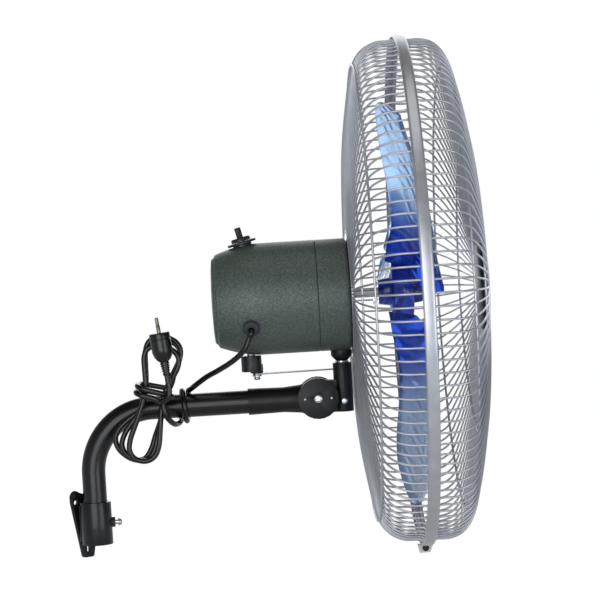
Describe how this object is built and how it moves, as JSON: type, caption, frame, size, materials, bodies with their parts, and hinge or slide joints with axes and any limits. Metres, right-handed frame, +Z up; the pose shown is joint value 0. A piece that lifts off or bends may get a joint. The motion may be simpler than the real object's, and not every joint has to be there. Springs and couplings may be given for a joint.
{
  "type": "wall mounted fan",
  "caption": "Oscillating fan on a bent wall arm: plate and socket, tilting neck, motor head, guarded blue impeller, cord tied in a hank.",
  "frame": {"origin": "centre of the wall plate's back face, which lies against the wall", "axes": "+X out of the wall, +Z up, +Y to the left of someone who looks at the wall; the arm stands turned 50 degrees from +X towards +Y"},
  "size_m": [0.5596, 0.5738, 0.661],
  "materials": {
    "black_enamel": "gloss black enamel over steel and castings",
    "hammer_green": "dark green hammertone enamel",
    "zinc": "bright zinc plated fastener steel",
    "steel": "bare machined steel",
    "guard_wire": "silver coated guard wire",
    "core_steel": "laminated core steel",
    "copper": "varnished copper winding",
    "cast_aluminium": "die cast aluminium",
    "brass": "machined brass",
    "black_plastic": "moulded black plastic",
    "grey_rubber": "dark grey moulded rubber",
    "cord_black": "glossy black flexible cord sheath",
    "pale_plastic": "pale grey moulded plastic",
    "blade_blue": "translucent blue moulded plastic"
  },
  "bodies": {
    "wall_bracket": {"wall_plate": "black_enamel", "socket_tube": "black_enamel", "arm_set_screw": "zinc"},
    "arm": {"arm_tube": "black_enamel", "arm_knuckle": "black_enamel", "tilt_bolt": "zinc", "tilt_nut": "zinc", "cord_hank": "cord_black", "power_plug": "cord_black"},
    "neck": {"neck_yoke": "black_enamel", "neck_clamp_screw": "zinc", "pivot_washer": "zinc", "cord_run_2": "cord_black"},
    "head": {"motor_shell_rear": "hammer_green", "motor_shell_front": "hammer_green", "stator_core": "core_steel", "winding_front": "copper", "winding_rear": "copper", "rear_endshield": "cast_aluminium", "front_bearing": "steel", "rear_bearing": "steel", "gearbox_housing": "cast_aluminium", "capacitor": "black_plastic", "pivot_cup": "black_enamel", "pivot_post": "steel", "switch_body": "black_plastic", "switch_plate": "black_plastic", "cord_grommet": "grey_rubber", "guard_mount_plate": "zinc", "guard_screw_1": "zinc", "guard_screw_2": "zinc", "guard_screw_3": "zinc", "guard_screw_4": "zinc", "guard_rear": "guard_wire", "guard_front": "guard_wire", "guard_ring": "zinc", "ring_clip": "pale_plastic", "clip_screw": "black_enamel", "badge_disc": "black_plastic", "cord_run_1": "cord_black"},
    "knob": {"switch_knob": "black_plastic"},
    "crank": {"crank": "black_enamel", "crank_shaft": "steel", "worm_wheel": "brass", "crank_screw": "zinc"},
    "link": {"link_bar": "steel"},
    "rotor": {"motor_shaft": "steel", "rotor_core": "core_steel", "impeller": "blade_blue", "spinner_nut": "blade_blue"}
  },
  "joints": [
    {"name": "arm_swivel", "type": "hinge", "parent": "wall_bracket", "child": "arm", "pos_m": [0.0255, 0, 0.0034], "axis": [0, 0, 1], "range_deg": [-100, 0]},
    {"name": "tilt", "type": "hinge", "parent": "arm", "child": "neck", "pos_m": [0.21255, 0.22292, 0.1444], "axis": [-0.766, 0.6428, 0], "range_deg": [-5, 25], "deforming": ["cord_run_2"]},
    {"name": "head_swing", "type": "hinge", "parent": "neck", "child": "head", "pos_m": [0.23376, 0.2482, 0.1874], "axis": [0, 0, 1], "range_deg": [-45, 18], "deforming": ["cord_run_1"]},
    {"name": "rotor_spin", "type": "hinge", "parent": "head", "child": "rotor", "pos_m": [0.29354, 0.31944, 0.2744], "axis": [0.6428, 0.766, 0], "continuous": true},
    {"name": "knob_turn", "type": "hinge", "parent": "head", "child": "knob", "pos_m": [0.15791, 0.15781, 0.34542], "axis": [-0.1555, -0.1853, 0.9703], "range_deg": [0, 135]},
    {"name": "crank_turn", "type": "hinge", "parent": "head", "child": "crank", "pos_m": [0.15984, 0.1601, 0.2034], "axis": [0, 0, 1], "range_deg": [-29, 72.2]},
    {"name": "link_pivot", "type": "hinge", "parent": "crank", "child": "link", "pos_m": [0.15557, 0.17185, 0.1774], "axis": [0, 0, 1], "range_deg": [-74.5, 30]}
  ],
  "couplings": [
    {"joint": "crank_turn", "follows": "head_swing", "ratio": -1.6},
    {"joint": "link_pivot", "follows": "head_swing", "ratio": 1.65}
  ]
}
